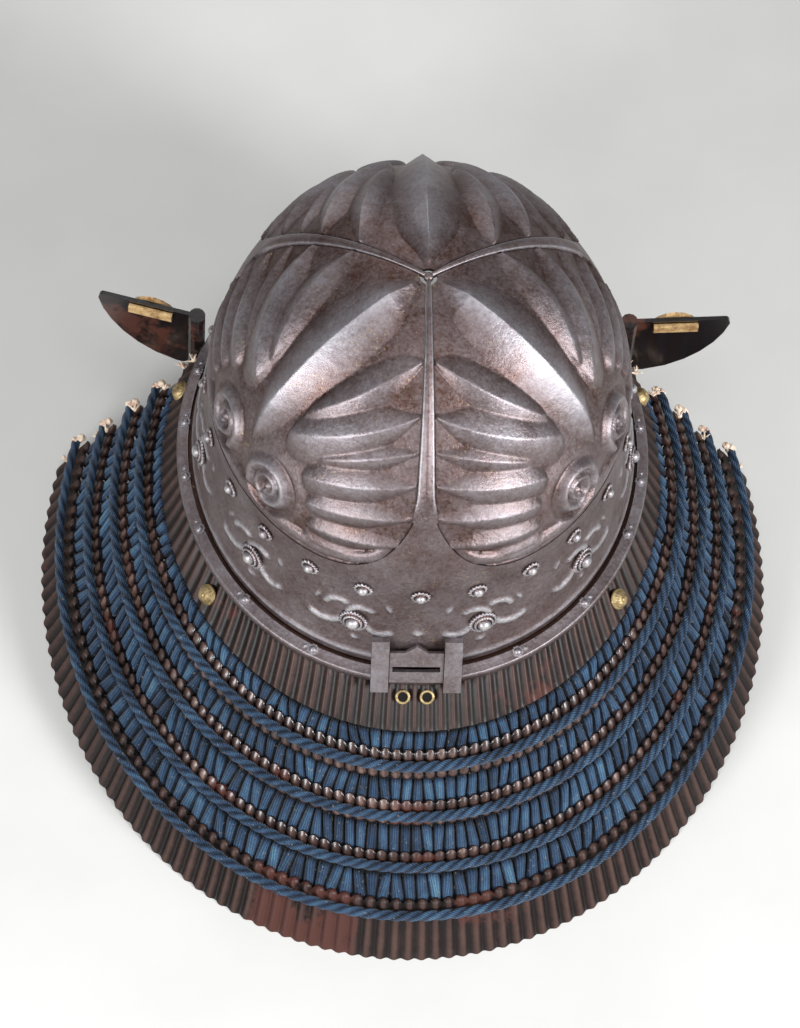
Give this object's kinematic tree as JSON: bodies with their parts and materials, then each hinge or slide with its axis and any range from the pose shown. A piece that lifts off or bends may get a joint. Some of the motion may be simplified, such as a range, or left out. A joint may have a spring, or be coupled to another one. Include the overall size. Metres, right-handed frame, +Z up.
{
  "type": "kabuto samurai helmet",
  "caption": "Samurai helmet: embossed iron bowl with narrow ribs over a flared skirt of silk-laced lacquered lames, with turned-back front plates.",
  "frame": {"origin": "under the middle of the helmet's bounding box, on the surface it stands on", "axes": "+Z up; the visor faces -Y; the neck guard's longest lames are at +Y"},
  "size_m": [0.368, 0.3776, 0.2823],
  "materials": {
    "russet_iron": "satin",
    "lacquered_lame": "gloss",
    "indigo_lacing": "matte",
    "brass": "satin",
    "gilt_copper": "polished"
  },
  "bodies": {
    "root": {"panel_right": "russet_iron", "panel_front": "russet_iron", "panel_left": "russet_iron", "apex_ribs": "russet_iron", "koshimaki_band": "russet_iron", "rim_flange": "russet_iron", "visor": "russet_iron", "bracket_post_left": "russet_iron", "bracket_post_right": "russet_iron", "bracket_plate": "russet_iron", "row_stud_1": "russet_iron", "row_stud_2": "russet_iron", "row_stud_3": "russet_iron", "row_stud_4": "russet_iron", "row_stud_5": "russet_iron", "row_stud_6": "russet_iron", "row_stud_7": "russet_iron", "row_stud_8": "russet_iron", "row_stud_9": "russet_iron", "row_stud_10": "russet_iron", "row_stud_11": "russet_iron", "row_stud_12": "russet_iron", "row_stud_13": "russet_iron", "row_stud_14": "russet_iron", "row_stud_15": "russet_iron", "row_stud_16": "russet_iron", "row_stud_17": "russet_iron", "row_stud_18": "russet_iron", "row_stud_19": "russet_iron", "boss_1": "russet_iron", "boss_2": "russet_iron", "boss_3": "russet_iron", "boss_4": "russet_iron", "boss_5": "russet_iron", "boss_6": "russet_iron", "lame_1": "lacquered_lame", "lame_2": "lacquered_lame", "lame_3": "lacquered_lame", "lame_4": "lacquered_lame", "lame_5": "lacquered_lame", "turnback_left": "lacquered_lame", "turnback_right": "lacquered_lame", "lacing_1": "indigo_lacing", "lacing_2": "indigo_lacing", "lacing_3": "indigo_lacing", "lacing_4": "indigo_lacing", "braid_2": "indigo_lacing", "braid_3": "indigo_lacing", "braid_4": "indigo_lacing", "braid_5": "indigo_lacing", "brass_stud_1": "brass", "brass_stud_2": "brass", "brass_stud_3": "brass", "brass_stud_4": "brass", "eyelet_left": "brass", "eyelet_right": "brass", "crest_disc_left": "gilt_copper", "crest_bar_left": "gilt_copper", "crest_disc_right": "gilt_copper", "crest_bar_right": "gilt_copper"}
  },
  "joints": []
}
